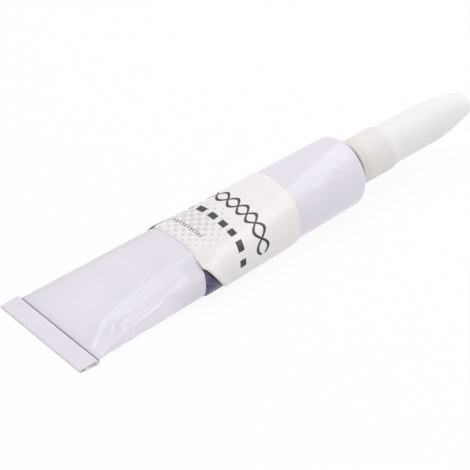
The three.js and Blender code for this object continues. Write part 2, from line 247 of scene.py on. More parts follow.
CAP_BORE_NEAR = (0.05, 0.001)  # how near in x and radius a point is to belong to the bore
CAP_THREAD = (78.0, 84.6, 0.8)
CAP_THREAD_HEIGHT = 0.22
NOZZLE_CORNERS = [
    (79.237, 2.1, 0.15), (79.237, 2.92, 0.2), (84.337, 2.92, 0.1), (84.337, 3.75, 0.15),
    (85.137, 3.75, 0.2), (85.137, 2.8, 0.35), (88.0, 2.6, 0.4), (105.737, 1.4, 0.12),
    (105.737, 0.75, 0.08), (97.737, 0.75, 0.2), (85.137, 2.0, 0.5),
]
PIN_CORNERS = [
    (97.737, 0.0, 0), (97.9, 0.16, 0.05), (98.5, 0.45, 0.1), (109.037, 0.45, 0.06), (109.037, 0.0, 0),
]

# The filling and the seal
FILL_INSET = 0.25
FILL_ROOM = 0.03  # the half height that is left where the tail is flat
FILL_SPAN = (4.3, BODY_LENGTH, 120)  # start, end and the number of rows
SEAL_SPAN = (1.2, 4.1, 12)
FILL_COLUMNS = 112
THROAT_RADIUS = 2.8
THROAT_END = 79.0


def place(points):
    """Points of the tube's frame in millimetres, as points of the part's frame in metres."""
    points = np.asarray(points, float) * MM
    return ORIGIN + points[..., :1] * AXIS + points[..., 1:2] * ACROSS + points[..., 2:3] * RISE


def ease(value):
    """A smooth step from 0 to 1."""
    value = np.clip(value, 0, 1)
    return value * value * (3 - 2 * value)


def window(x, start, end, fade):
    """1 between start and end, fading to 0 at both."""
    return ease((x - start) / fade) * ease((end - x) / fade)


# Meshes
def grid_faces(rows, columns, close_rows=False, close_columns=False):
    """Quads of a grid of points, listed row by row."""
    row_count = rows if close_rows else rows - 1
    column_count = columns if close_columns else columns - 1
    i, j = np.meshgrid(np.arange(row_count), np.arange(column_count), indexing="ij")
    below = (i + 1) % rows
    beside = (j + 1) % columns
    here = i * columns
    there = below * columns
    quads = np.stack([here + j, here + beside, there + beside, there + j], -1)
    return quads.reshape(-1, 4).tolist()


def make_object(name, points, faces, materials, material_index=None, uv=None, sharp=50):
    """A mesh object from points in metres. uv gives each point's place on a flat sheet."""
    mesh = bpy.data.meshes.new(name)
    mesh.from_pydata(np.asarray(points).reshape(-1, 3).tolist(), [], faces)
    for material in materials:
        mesh.materials.append(material)
    if material_index is not None:
        mesh.polygons.foreach_set("material_index", material_index)
    if uv is not None:
        layer = mesh.uv_layers.new(name="sheet")
        corners = np.zeros(len(mesh.loops), dtype=np.int64)
        mesh.loops.foreach_get("vertex_index", corners)
        layer.data.foreach_set("uv", np.asarray(uv, np.float32).reshape(-1, 2)[corners].ravel())
    work = bmesh.new()
    work.from_mesh(mesh)
    bmesh.ops.remove_doubles(work, verts=work.verts, dist=SAME_POINT)
    bmesh.ops.dissolve_degenerate(work, edges=work.edges, dist=NO_EDGE)
    bmesh.ops.recalc_face_normals(work, faces=work.faces)
    work.to_mesh(mesh)
    work.free()
    mesh.shade_smooth()
    mesh.set_sharp_from_angle(angle=math.radians(sharp))
    piece = bpy.data.objects.new(name, mesh)
    bpy.context.scene.collection.objects.link(piece)
    return piece


def fillet(corners, steps=5):
    """A closed outline of (x, r, round) corners, with each corner's round drawn as an arc."""
    points = []
    for index, (x, r, size) in enumerate(corners):
        here = np.array([x, r], float)
        before = np.array(corners[index - 1][:2], float) - here
        after = np.array(corners[(index + 1) % len(corners)][:2], float) - here
        if size <= 0:
            points.append(here)
            continue
        before /= np.linalg.norm(before)
        after /= np.linalg.norm(after)
        half = math.acos(np.clip(before @ after, -1, 1)) / 2
        reach = size / math.tan(half)
        middle = before + after
        centre = here + middle / np.linalg.norm(middle) * size / math.sin(half)
        start = here + before * reach - centre
        end = here + after * reach - centre
        sweep = math.pi - 2 * half
        for t in np.linspace(0, 1, steps + 1):
            turned = start * math.sin((1 - t) * sweep) + end * math.sin(t * sweep)
            points.append(centre + turned / math.sin(sweep))
    return np.array(points)


def lathe(outline, sides, radius_shift=None):
    """Points and faces of a closed outline turned about the axis. radius_shift adds to a point's radius."""
    turn = np.linspace(0, 2 * math.pi, sides, endpoint=False)
    x = np.repeat(outline[:, :1], sides, axis=1)
    r = np.repeat(outline[:, 1:2], sides, axis=1)
    if radius_shift is not None:
        r = r + radius_shift(x, r, turn[None, :])
    points = np.stack([x, r * np.cos(turn), r * np.sin(turn)], -1)
    return place(points), grid_faces(len(outline), sides, True, True)


# The body's surface: x runs along the axis, g along the girth from the top's middle line to the near side
def even_table(x, values, reach=1.4, samples=7):
    """A crease table's value at x, averaged over a short reach so that it has no kinks."""
    shifts = np.linspace(-reach, reach, samples)
    return sum(np.interp(x + shift, CREASE_X, values) for shift in shifts) / samples


def half_height(x):
    """Half the height of the body's plain section."""
    plain = TAIL_HALF + (RADIUS - TAIL_HALF) * np.clip(x / BODY_LENGTH, 0, 1)
    return plain - (TAIL_HALF - TAIL_TIGHT) * (1 - ease(x / TAIL_TIGHT_RUN))


def middle_height(x):
    """The height of the section's middle, which drops towards the tail."""
    return -TAIL_DROP * (1 - np.clip(x / BODY_LENGTH, 0, 1))


def line_mark(x, g, start, end, width):
    """1 along a straight line on the sheet, falling to 0 at its sides and ends."""
    along = np.array(end, float) - start
    length = np.linalg.norm(along)
    along /= length
    t = (x - start[0]) * along[0] + (g - start[1]) * along[1]
    off = (x - start[0]) * along[1] - (g - start[1]) * along[0]
    return np.exp(-((off / width) ** 2)) * window(t, 0, length, LINE_ENDS * length)


def dents(x, g):
    """How far the wall stands out from its plain form."""
    out = 0.0
    for height, first, second in DENT_WAVES:
        waves = [np.sin(rate_x * x + rate_g * g + phase) for rate_x, rate_g, phase in (first, second)]
        out = out + height * waves[0] * waves[1]
    out = out * ease((BODY_LENGTH - x) / WAVE_FADE)
    middle, half, height = HOLLOW
    out = out + height * np.exp(-(((g - middle) / half) ** 2)) * window(x, *HOLLOW_SPAN)
    for start, end, width, height in DENT_LINES:
        out = out + height * line_mark(x, g, start, end, width)
    spot_x = (x - BUMP_SPOT[0]) / BUMP_SIZE[0]
    spot_g = (g - BUMP_SPOT[1]) / BUMP_SIZE[1]
    out = out + BUMP_HEIGHT * np.exp(-(spot_x ** 2) - spot_g ** 2)
    sides = ease((DENT_REACH[0] - np.abs(g)) / DENT_REACH[1])
    return out * sides * ease(x / DENT_RUN_IN) * ease((BODY_LENGTH - x) / DENT_RUN_OUT)


def crease_depth(x):
    """How deep the near crease is pressed in."""
    fade = 1 - ease((x - CREASE_FADE[0]) / CREASE_FADE[1])
    return CREASE_STEEP * even_table(x, CREASE_WIDTH) * ease(x / CREASE_RUN_IN) * fade


def pressed_height(x, y, z, base, out):
    """The section's height z, pressed down beyond the near crease."""
    depth = crease_depth(x)
    into = np.clip((-y - even_table(x, CREASE_START)) / even_table(x, CREASE_WIDTH), 0, 1)
    step = depth * (CREASE_STRAIGHT * into + (1 - CREASE_STRAIGHT) * ease(into))
    shelf = np.maximum(base - step, LEAST_HEIGHT * base) + out
    blur = CREASE_BLUR * depth + LEAST_BLUR
    pressed = 0.5 * (z + shelf - np.sqrt((z - shelf) ** 2 + blur * blur))
    return np.where((z > 0) & (step > 0), np.clip(pressed, 0, z), z)


def flank(x, reach, base, flat, out):
    """The flank's y and z, and how far down it each point is: 0 at the crest, 1 at the foot."""
    foot_y = flat + math.sin(FLANK_TURN) * base
    foot_z = math.cos(FLANK_TURN) * base
    top = np.maximum(base - crease_depth(x), LEAST_HEIGHT * base)
    crest = foot_y - (top - foot_z) / FLANK_SLOPE
    down = np.clip((reach - crest) / (flat + FLANK_TURN * base - crest), 0, 1)
    begun = ease(down / FLANK_BEGIN)
    late = ease((down - FLANK_LATE) / (1 - FLANK_LATE))
    out_y = FLANK_OUT[0] * begun * (1 - late) + math.sin(FLANK_TURN) * late
    out_z = (1 - (1 - FLANK_OUT[1]) * begun) * (1 - late) + math.cos(FLANK_TURN) * late
    fall = (1 + FLANK_ROUND) * down * down / (down + FLANK_ROUND)
    y = -(crest + (foot_y - crest) * down + out * out_y)
    z = top - (top - foot_z) * fall + out * out_z
    return y, z, down


def skin(x, g, offset=0.0):
    """Points at that offset outside the body's wall."""
    x, g = np.broadcast_arrays(np.asarray(x, float), np.asarray(g, float))
    g = (g + HALF_GIRTH) % TURN - HALF_GIRTH
    out = offset + dents(x, g)
    base = half_height(x)
    flat = math.pi / 2 * (RADIUS - base)
    reach = np.abs(g)
    turn = np.clip((reach - flat) / base, 0, math.pi)
    under = np.clip(reach - flat - math.pi * base, 0, None)
    y = -np.sign(g) * (np.minimum(reach, flat) + (base + out) * np.sin(turn) - under)
    z = pressed_height(x, y, (base + out) * np.cos(turn), base, out)
    flank_y, flank_z, down = flank(x, reach, base, flat, out)
    share = ease(x / FLANK_RUN_IN) * (1 - ease((x - FLANK_FADE[0]) / FLANK_FADE[1]))
    share = share * (g > 0) * (down > 0) * (turn < FLANK_TURN)
    y = y + share * (flank_y - y)
    z = z + share * (flank_z - z)
    return np.stack([x, y, z + middle_height(x)], -1)


def inner_skin(x, g, inset, least):
    """Points inside the wall, within the plain section. least is the half height that always stays."""
    points = skin(x, g, -inset)
    middle = middle_height(x)
    room = np.maximum(half_height(x) - inset, least)
    points[..., 2] = middle + np.clip(points[..., 2] - middle, -room, room)
    return points


# Materials
class Field:
    """A number that varies over a surface."""

    def __init__(self, paint, socket):
        self.paint = paint
        self.socket = socket

    def __add__(self, other):
        return self.paint.math("ADD", self, other)

    def __sub__(self, other):
        return self.paint.math("SUBTRACT", self, other)

    def __mul__(self, other):
        return self.paint.math("MULTIPLY", self, other)

    def __truediv__(self, other):
        return self.paint.math("DIVIDE", self, other)

    def sine(self):
        return self.paint.math("SINE", self)

    def part(self):
        return self.paint.math("FRACT", self)

    def whole(self):
        return self.paint.math("FLOOR", self)

    def most(self, other):
        return self.paint.math("MAXIMUM", self, other)

    def under(self, limit, blur):
        """1 where the value is below limit, 0 above, with a soft edge."""
        return self.paint.smooth(self.paint.math("SUBTRACT", limit, self) / blur + 0.5)

    def within(self, middle, half, blur):
        """1 where the value is less than half away from middle, 0 beyond, with soft edges."""
        return self.paint.math("ABSOLUTE", self - middle).under(half, blur)


class Paint:
    """A material under construction."""

    def __init__(self, name, roughness=0.4, **settings):
        self.material = bpy.data.materials.new(name)
        self.material.use_nodes = True
        self.tree = self.material.node_tree
        self.shader = self.tree.nodes["Principled BSDF"]
        self.shader.inputs["Roughness"].default_value = roughness
        for socket, value in settings.items():
            self.shader.inputs[socket].default_value = value
        self.where = self.tree.nodes.new("ShaderNodeTexCoord").outputs["Object"]

    def feed(self, socket, value):
        """Links a field to a socket, or sets a plain value. None leaves the socket as it is."""
        if isinstance(value, Field):
            self.tree.links.new(value.socket, socket)
        elif value is not None:
            socket.default_value = value

    def math(self, operation, *values):
        node = self.tree.nodes.new("ShaderNodeMath")
        node.operation = operation
        for socket, value in zip(node.inputs, values):
            self.feed(socket, value)
        return Field(self, node.outputs[0])

    def smooth(self, value):
        """A smooth step from 0 to 1."""
        node = self.tree.nodes.new("ShaderNodeMapRange")
        node.interpolation_type = "SMOOTHSTEP"
        self.feed(node.inputs["Value"], value)
        return Field(self, node.outputs[0])

    def noise(self, scale, detail, stretch=None):
        """Noise with about that many lumps to the metre, stretched along the axes if asked."""
        node = self.tree.nodes.new("ShaderNodeTexNoise")
        node.inputs["Scale"].default_value = scale
        node.inputs["Detail"].default_value = detail
        source = self.where
        if stretch is not None:
            mapping = self.tree.nodes.new("ShaderNodeMapping")
            mapping.inputs["Scale"].default_value = stretch
            self.tree.links.new(source, mapping.inputs["Vector"])
            source = mapping.outputs["Vector"]
        self.tree.links.new(source, node.inputs["Vector"])
        return Field(self, node.outputs["Fac"])

    def measure(self, direction):
        """Millimetres from the tube's origin in one direction."""
        node = self.tree.nodes.new("ShaderNodeVectorMath")
        node.operation = "DOT_PRODUCT"
        self.tree.links.new(self.where, node.inputs[0])
        node.inputs[1].default_value = direction / MM
        return Field(self, node.outputs["Value"]) - float(ORIGIN @ direction / MM)

    def sheet(self):
        """Millimetres along and across a flat sheet."""
        node = self.tree.nodes.new("ShaderNodeUVMap")
        node.uv_map = "sheet"
        split = self.tree.nodes.new("ShaderNodeSeparateXYZ")
        self.tree.links.new(node.outputs["UV"], split.inputs[0])
        return Field(self, split.outputs[0]) * PRINT_UNIT, Field(self, split.outputs[1]) * PRINT_UNIT

    def tones(self, noise, first, second):
        """Two tones that blend over the middle of a noise's range."""
        node = self.tree.nodes.new("ShaderNodeValToRGB")
        self.feed(node.inputs[0], noise)
        for point, position, colour in zip(node.color_ramp.elements, (0.3, 0.7), (first, second)):
            point.position = position
            point.color = tuple(colour) + (1.0,)
        return Field(self, node.outputs["Color"])

    def mix(self, factor, first, second):
        """The first colour where factor is 0, the second where it is 1."""
        node = self.tree.nodes.new("ShaderNodeMix")
        node.data_type = "RGBA"
        self.feed(node.inputs["Factor"], factor)
        self.feed(node.inputs[6], first if isinstance(first, Field) else tuple(first) + (1.0,))
        self.feed(node.inputs[7], second if isinstance(second, Field) else tuple(second) + (1.0,))
        return Field(self, node.outputs[2])

    def finish(self, colour, roughness, height, depth, strength):
        """The material, with a bump of that height field, depth in metres and strength."""
        self.feed(self.shader.inputs["Base Color"], colour)
        self.feed(self.shader.inputs["Roughness"], roughness)
        bump = self.tree.nodes.new("ShaderNodeBump")
        bump.inputs["Strength"].default_value = strength
        bump.inputs["Distance"].default_value = depth
        self.feed(bump.inputs["Height"], height)
        self.tree.links.new(bump.outputs["Normal"], self.shader.inputs["Normal"])
        return self.material


def linear(red, green, blue):
    """A display colour of 0 to 255 as the linear colour that a shader takes."""
    def one(value):
        value /= 255
        return value / 12.92 if value <= 0.04045 else ((value + 0.055) / 1.055) ** 2.4
    return (one(red), one(green), one(blue))


def lacquer_material(name, body):
    """Pale lavender lacquer, clouded and rubbed. The body's has a painted grey rim of grazing reflection
    along its far edge and painted shade in the crease along the fold.
    """
    paint = Paint(name, **{"Coat Weight": 0.08, "Coat Roughness": 0.12})
    colour = paint.tones(paint.noise(55, 3), linear(226, 221, 232), linear(233, 228, 239))
    rub = paint.noise(240, 4, (0.25, 1, 1))
    colour = paint.mix(rub.under(0.36, 0.1) * 0.35, colour, linear(218, 214, 222))
    if body:
        along = paint.measure(AXIS)
        far = along * FAR_RIM_LEAN - paint.measure(ACROSS)
        # Painted grey rim of grazing reflection along the body's far edge
        far_rim_reflection = far.under(*FAR_RIM_EDGE) * along.under(*FAR_RIM_END)
        colour = paint.mix(far_rim_reflection * 0.55, colour, linear(210, 206, 203))
        # Painted shade in the crease at the fold's root, a soft band and then a darker line
        colour = paint.mix(along.under(*FOLD_SHADE) * 0.35, colour, linear(196, 190, 202))
        colour = paint.mix(along.under(*FOLD_CREASE_SHADE), colour, linear(174, 166, 180))
    roughness = paint.noise(160, 3) * 0.12 + 0.12
    height = paint.noise(2600, 2) * 0.3 + paint.noise(420, 2) * 0.7
    return paint.finish(colour, roughness, height, 0.000012, 0.35)


def metal_material():
    """The cut edge of the aluminium sheet, with drawn lines along the cut."""
    paint = Paint("cut_aluminium", Metallic=0.1)
    lines = paint.noise(1500, 3, (0.2, 1, 4))
    colour = paint.tones(lines, linear(224, 221, 228), linear(240, 237, 243))
    return paint.finish(colour, lines * 0.25 + 0.25, lines, 0.00001, 0.4)


def corner_curve(past):
    """How far the label's lapped corner is cut back, past the place where it starts."""
    return past * past * CORNER_LEAN / (past + CORNER_SOFT)


def halftone(paint, along, across):
    """Rows of dots that swell towards one spot."""
    pitch_x, pitch_y = DOT_PITCH
    shift = ((across / pitch_y).whole() / 2.0).part()
    dot_x = ((along / pitch_x + shift).part() - 0.5) * pitch_x
    dot_y = ((across / pitch_y).part() - 0.5) * pitch_y
    distance = paint.math("SQRT", dot_x * dot_x + dot_y * dot_y)
    swell = across.within(*DOT_ACROSS) * along.within(*DOT_ALONG)
    return distance.under(swell * DOT_RADIUS - DOT_LEAST, INK_EDGE)


def dark_marks(along, across):
    """A braid, a row of dashes and a row of ticks."""
    sway = along.sine() * BRAID_SWAY
    braid = (across - sway).within(BRAID_LINE, BRAID_HALF, INK_EDGE)
    braid = braid.most((across + sway).within(BRAID_LINE, BRAID_HALF, INK_EDGE))
    dashes = across.within(*DASH_ROW) * (along / DASH_PITCH).part().under(*DASH_SHARE)
    ticks = across.within(*TICK_ROW) * (along / TICK_PITCH).part().under(*TICK_SHARE)
    ticks = ticks * along.under(TICK_END, INK_EDGE) * TICK_TONE
    middle, half = INK_AREA
    return braid.most(dashes.most(ticks)) * along.within(middle, half, INK_EDGE)


def purple_ink(paint, along, across):
    """Speckled dark purple, with a painted shadow along the lapped corner's edge."""
    colour = paint.mix(paint.noise(2400, 4).under(0.46, 0.1) * 0.6, linear(80, 67, 110), linear(48, 41, 68))
    colour = paint.mix(paint.noise(3600, 2).under(0.4, 0.1) * 0.5, colour, linear(160, 152, 184))
    # Painted shadow along the lapped corner's edge
    lap = corner_curve((along - CORNER_RUN).most(0.0))
    lap_shadow = (lap - across).within(*LAP_SHADOW_BAND) * along.under(*LAP_SHADOW_END)
    return paint.mix(lap_shadow * 0.8, colour, linear(38, 33, 42))


def label_material():
    """Satin white label stock, printed with a purple panel, halftone dots and plain dark marks."""
    paint = Paint("label_print", **{"Coat Weight": 0.2, "Coat Roughness": 0.25})
    along, across = paint.sheet()
    colour = paint.tones(paint.noise(70, 3), linear(237, 233, 233), linear(242, 238, 238))
    colour = paint.mix(halftone(paint, along, across), colour, linear(216, 213, 213))
    colour = paint.mix(dark_marks(along, across), colour, linear(50, 47, 52))
    panel_edge = (along * PANEL_WAVE_RATE).sine() * PANEL_WAVE + PANEL_WIDTH
    panel = across.under(panel_edge, PANEL_EDGE) * along.under(*PANEL_END)
    colour = paint.mix(panel, colour, purple_ink(paint, along, across))
    return paint.finish(colour, paint.noise(300, 3) * 0.15 + 0.28, paint.noise(900, 4), 0.00001, 0.3)


def label_edge_material():
    """The cut edge of the label stock, yellowish with dried adhesive."""
    paint = Paint("label_edge", roughness=0.6)
    lumps = paint.noise(900, 3)
    colour = paint.tones(lumps, linear(222, 217, 204), linear(236, 232, 224))
    return paint.finish(colour, None, lumps, 0.00004, 0.6)


def polyethylene_material(name, light, shade, collar_end):
    """Frosted polyethylene that lets a little light in, with painted shade below collar_end, where it is
    double.
    """
    paint = Paint(name, **{"Subsurface Weight": 0.45, "Subsurface Scale": 0.0014,
                           "Subsurface Radius": (1.0, 0.9, 0.8), "Specular IOR Level": 0.2,
                           "Transmission Weight": 0.06})
    along = paint.measure(AXIS)
    lighter = tuple(min(1.0, value * 1.03) for value in light)
    colour = paint.tones(paint.noise(110, 3), light, lighter)
    # Painted shade over the collar, where the wall is double and lets less light through
    colour = paint.mix(along.under(collar_end, COLLAR_BLUR) * 0.8, colour, shade)
    mottle = paint.noise(1300, 3) * 0.5 + 0.25
    colour = paint.mix(along.under(*MOUTH_STAIN) * mottle, colour, linear(226, 220, 204))
    roughness = paint.noise(140, 3) * 0.14 + 0.4
    frost = paint.noise(3200, 3) * 0.5 + paint.noise(700, 3, (0.3, 1, 1)) * 0.5
    return paint.finish(colour, roughness, frost, 0.00001, 0.4)


def plain_material(name, first, second, scale, roughness, depth, **settings):
    """A material with two tones of one colour in lumps, and a fine bump."""
    paint = Paint(name, **settings)
    lumps = paint.noise(scale, 3)
    colour = paint.tones(lumps, first, second)
    return paint.finish(colour, lumps * 0.12 + roughness, paint.noise(scale * 4, 3), depth, 0.4)


LACQUER = lacquer_material("lacquer", False)
BODY_LACQUER = lacquer_material("body_lacquer", True)
CUT_METAL = metal_material()
# Painted shade for the dark gaps between the fold's layers
FOLD_GAP_SHADE = plain_material("fold_gap_shade", linear(138, 131, 144), linear(164, 157, 170), 400, 0.4, 0.00001)
LABEL_PRINT = label_material()
LABEL_EDGE = label_edge_material()
CAP_PLASTIC = polyethylene_material("cap_plastic", linear(251, 247, 244), linear(241, 235, 234), 86.2)
NOZZLE_PLASTIC = polyethylene_material("nozzle_plastic", linear(240, 236, 232), linear(232, 228, 224), 86.0)
GEL = plain_material("gel", linear(238, 233, 222), linear(243, 239, 230), 120, 0.12, 0.00002,
                     **{"Transmission Weight": 0.3})
SEALANT = plain_material("sealant", linear(222, 208, 170), linear(234, 222, 188), 300, 0.5, 0.00004)
STEEL = plain_material("pin_steel", linear(176, 178, 182), linear(206, 208, 211), 700, 0.22, 0.00001,
                       Metallic=1.0)


# The tube: outer wall, shoulder and threaded neck outside, and the same wall inside
def shoulder_line(inset, end_radius, round_steps=10, cone_steps=5):
    """The (x, r) points of the shoulder from the body's end to end_radius."""
    size = SHOULDER_ROUND - inset
    angle = np.linspace(0, math.pi / 2 - SHOULDER_RISE, round_steps + 1)
    x = BODY_LENGTH + size * np.sin(angle)
    r = RADIUS - SHOULDER_TRIM - SHOULDER_ROUND + size * np.cos(angle)
    end_x = x[-1] + (r[-1] - end_radius) * math.tan(SHOULDER_RISE)
    between = np.linspace(0, 1, cone_steps + 1)[1:]
    x = np.concatenate([x, x[-1] + (end_x - x[-1]) * between])
    r = np.concatenate([r, r[-1] + (end_radius - r[-1]) * between])
    return np.stack([x, r], 1)


def rings(x, r, girth):
    """Rings about the axis with the same columns as the body's skin. r may vary from column to column."""
    turn = math.pi / 2 + girth / RADIUS
    x = np.repeat(np.reshape(x, (-1, 1)), len(girth), axis=1)
    return np.stack([x, r * np.cos(turn), r * np.sin(turn)], -1)


def line_rings(line, girth):
    """Rings at the (x, r) points of a line."""
    return rings(line[:, 0], line[:, 1:2], girth)


def thread_tooth(x, turn, shift):
    """1 on a screw thread's crest and 0 in its root. shift moves the crest by that share of the pitch."""
    in_pitch = ((x - turn / (2 * math.pi) * THREAD_PITCH) / THREAD_PITCH + shift) % 1
    return ease(np.abs(in_pitch - 0.5) * 2 * THREAD_STEEP - THREAD_ROOT)


def tube_skin():
    """The wall, with finer columns over the crease and finer rows towards the tail."""
    girth = np.concatenate([np.linspace(-HALF_GIRTH, 2.4, 84, endpoint=False),
                            np.linspace(2.4, 12.6, 78, endpoint=False),
                            np.linspace(12.6, HALF_GIRTH, 40, endpoint=False)])
    stations = np.concatenate([np.linspace(0, 3, 16), np.linspace(3, 32, 170)[1:],
                               np.linspace(32, BODY_LENGTH, 100)[1:]])
    outer = skin(stations[:, None], girth[None, :])
    shoulder = line_rings(shoulder_line(0, NECK_ROOT)[1:], girth)
    neck_x = np.linspace(*NECK_SPAN)[:, None]
    thread = thread_tooth(neck_x, math.pi / 2 + girth[None, :] / RADIUS, 0.0) * window(neck_x, *NECK_THREAD)
    neck = rings(neck_x, NECK_ROOT + (NECK_RADIUS - NECK_ROOT) * thread, girth)
    lip_line = [[NECK_TOP, NECK_ROOT - LIP_ROUND], [NECK_TOP, NECK_BORE + LIP_ROUND],
                [NECK_TOP - LIP_ROUND, NECK_BORE]]
    lip = line_rings(np.array(lip_line), girth)
    inner_shoulder = line_rings(shoulder_line(WALL, NECK_BORE)[::-1][:-1], girth)
    inside = inner_skin(stations[::-3][:, None], girth[None, :], WALL, WALL_ROOM)
    layers = np.concatenate([outer, shoulder, neck, lip, inner_shoulder, inside])
    faces = grid_faces(len(layers), len(girth), True, True)
    return make_object("tube_skin", place(layers), faces, [BODY_LACQUER], sharp=55)


# The folded tail, drawn as one bent sheet seen from its end, level in the part's frame
def fold_path(floor):
    """The sheet's middle line as (x, z), its half thickness, and how many points its root and end have."""
    low = floor + SHEET / 2
    outer = -FOLD_DEPTH + BEND + SHEET / 2 + FOLD_SLACK
    rise = FOLD_HEIGHT - 2 * BEND - SHEET / 2

    def top_height(x):
        return low + 2 * BEND + rise * (x - outer) / (FOLD_INNER - outer)

    root = [(1.0, 0.02), (0.7, 0.01), (0.52, -0.04), (0.42, -0.16), (0.38, -0.32), (0.32, -0.48)]
    root += [(0.2, low + 0.04), (0.04, low)]
    lower = [(x, low) for x in np.linspace(-0.2, outer, 12)]
    turn = [(outer - BEND * math.sin(a), low + BEND - BEND * math.cos(a)) for a in np.linspace(0.3, 2.8, 9)]
    upper = [(x, top_height(x)) for x in np.linspace(outer + 0.05, FOLD_INNER, 12)]
    edge = top_height(FOLD_INNER) - TUCK
    back = [(FOLD_INNER + TUCK * math.sin(a), edge + TUCK * math.cos(a)) for a in np.linspace(0.5, 2.7, 6)]
    tucked = [(x, max(top_height(x) - 2 * TUCK, low + SHEET))
              for x in np.linspace(FOLD_INNER - 0.05, outer + 1.0, 12)]
    path = np.array(root + lower + turn + upper + back + tucked)
    half = np.full(len(path), SHEET / 2)
    half[-len(tucked) - len(back):] = TUCKED_HALF
    half[:ROOT_THIN] = ROOT_HALF
    return path, half, len(root), len(tucked)


def tail_fold():
    """The tail's sheet, folded over itself with the cut end tucked in, splayed a little at its inner edge."""
    root_point = place([0.0, 0.0, -TAIL_DROP])
    floor = -root_point[2] / MM
    path, half, roots, tucked = fold_path(floor)
    step = np.gradient(path, axis=0)
    step /= np.linalg.norm(step, axis=1, keepdims=True)
    normal = np.stack([-step[:, 1], step[:, 0]], 1)
    outline = np.concatenate([path + normal * half[:, None], (path - normal * half[:, None])[::-1]])
    narrow = np.ones(len(path))
    narrow[:roots] = np.interp(path[:roots, 0], *ROOT_NARROW)
    narrow = np.concatenate([narrow, narrow[::-1]])
    across = np.linspace(-FOLD_HALF, FOLD_HALF, FOLD_ROWS)[:, None]
    share = across / FOLD_HALF
    wave = sum(height * np.sin(rate * share + phase) for height, rate, phase in FOLD_WAVES)
    splay = FOLD_SPLAY * share * share - FOLD_SPLAY
    lift = np.clip((outline[:, 1] - floor) / FOLD_LIFT, 0, 1)
    x = outline[:, 0] + wave * np.clip(-outline[:, 0] / FOLD_DEPTH, 0, 1)
    z = outline[:, 1] + lift * (splay + wave * FOLD_RIPPLE)
    x = np.maximum(x, -FOLD_DEPTH + FOLD_SLACK)
    z = np.maximum(z, floor + FLOOR_GAP)
    points = root_point + np.stack([x, across * narrow, z], -1) * MM
    count = len(outline)
    faces = grid_faces(FOLD_ROWS, count, False, True)
    # The layers' inner sides and all of the tucked end get painted shade for the dark gaps between them, and
    # the two side ends are cut metal
    gap_shade_index = np.zeros(count, int)
    gap_shade_index[len(path) - tucked:count - roots - GAP_SHADE_SKIP] = 2
    materials = np.tile(gap_shade_index, FOLD_ROWS - 1).tolist()
    for base in (0, (FOLD_ROWS - 1) * count):
        for k in range(len(path) - 1):
            faces.append([base + k, base + k + 1, base + count - 2 - k, base + count - 1 - k])
            materials.append(1)
    return make_object("tail_fold", points, faces, [LACQUER, CUT_METAL, FOLD_GAP_SHADE], materials)


# The label
def label_edge(shape, run):
    """An edge's x at each place round the tube."""
    x, y, z = skin(shape[0], run).T
    return x + shape[1] * y + shape[2] * z + shape[3] * y * y


def label_border(rows, columns):
    """The points round a grid's border, in order."""
    border = list(range(columns))
    border += [row * columns + columns - 1 for row in range(1, rows)]
    border += [(rows - 1) * columns + column for column in range(columns - 2, -1, -1)]
    border += [row * columns for row in range(rows - 2, 0, -1)]
    return border


def label_sheet():
    """The strip, with its outer end climbing over its inner end and a corner that stands off a little."""
    run = np.linspace(LAP_START, LAP_END, LABEL_COLUMNS)
    left = corner_curve(np.clip(run - CORNER_START, 0, None))
    end_turn = np.clip((run - LAP_END + END_ROUND) / END_ROUND, 0, FULL_TURN)
    right = END_ROUND * (1 - np.sqrt(1 - end_turn * end_turn))
    share = 0.5 - 0.5 * np.cos(np.linspace(0, math.pi, LABEL_ROWS))[:, None]
    start = label_edge(LABEL_BACK, run) + left
    x = start + (label_edge(LABEL_FRONT, run) - right - start) * share
    across = left + (LABEL_WIDTH - right - left) * share
    side_gap = np.minimum(across - left, LABEL_WIDTH - right - across)
    lapped = ease((run - LAP_RAMP[0]) / LAP_RAMP[1])
    settle = -EDGE_SETTLE[0] * (1 - ease(side_gap / EDGE_SETTLE[1])) * (1 - lapped)
    feather = -EDGE_FEATHER[0] * (1 - ease(side_gap / EDGE_FEATHER[1])) * (1 - lapped)
    edge_gap = np.minimum(across - left, LAP_END - run)
    loose = ease((run - CORNER_START) / LOOSE_RUN_IN) * ease((LOOSE_WIDTH - edge_gap) / LOOSE_WIDTH)
    loose = LOOSE_LIFT * loose * ease((LOOSE_RUN_OUT[0] - run) / LOOSE_RUN_OUT[1])
    off = LABEL_OFF + LAP_CLIMB * lapped + settle + loose
    low = skin(x, run[None, :], off)
    high = skin(x, run[None, :], off + LABEL_THICK + feather + loose)
    count = LABEL_ROWS * LABEL_COLUMNS
    points = np.concatenate([high.reshape(-1, 3), low.reshape(-1, 3)])
    sheet = np.stack([np.repeat(run[None, :], LABEL_ROWS, 0), across], -1).reshape(-1, 2) / PRINT_UNIT
    top = grid_faces(LABEL_ROWS, LABEL_COLUMNS)
    faces = top + [[count + k for k in quad[::-1]] for quad in top]
    margin = (across - left < GLUE_MARGIN) & (run > GLUE_START)
    materials = margin[:-1, :-1].astype(int).ravel().tolist() + [1] * len(top)
    border = label_border(LABEL_ROWS, LABEL_COLUMNS)
    for here, there in zip(border, border[1:] + border[:1]):
        faces.append([here, there, count + there, count + here])
        materials.append(int(lapped[here % LABEL_COLUMNS] > 0.5))
    return make_object("label_sheet", place(points), faces, [LABEL_PRINT, LABEL_EDGE], materials,
                       np.concatenate([sheet, sheet]))


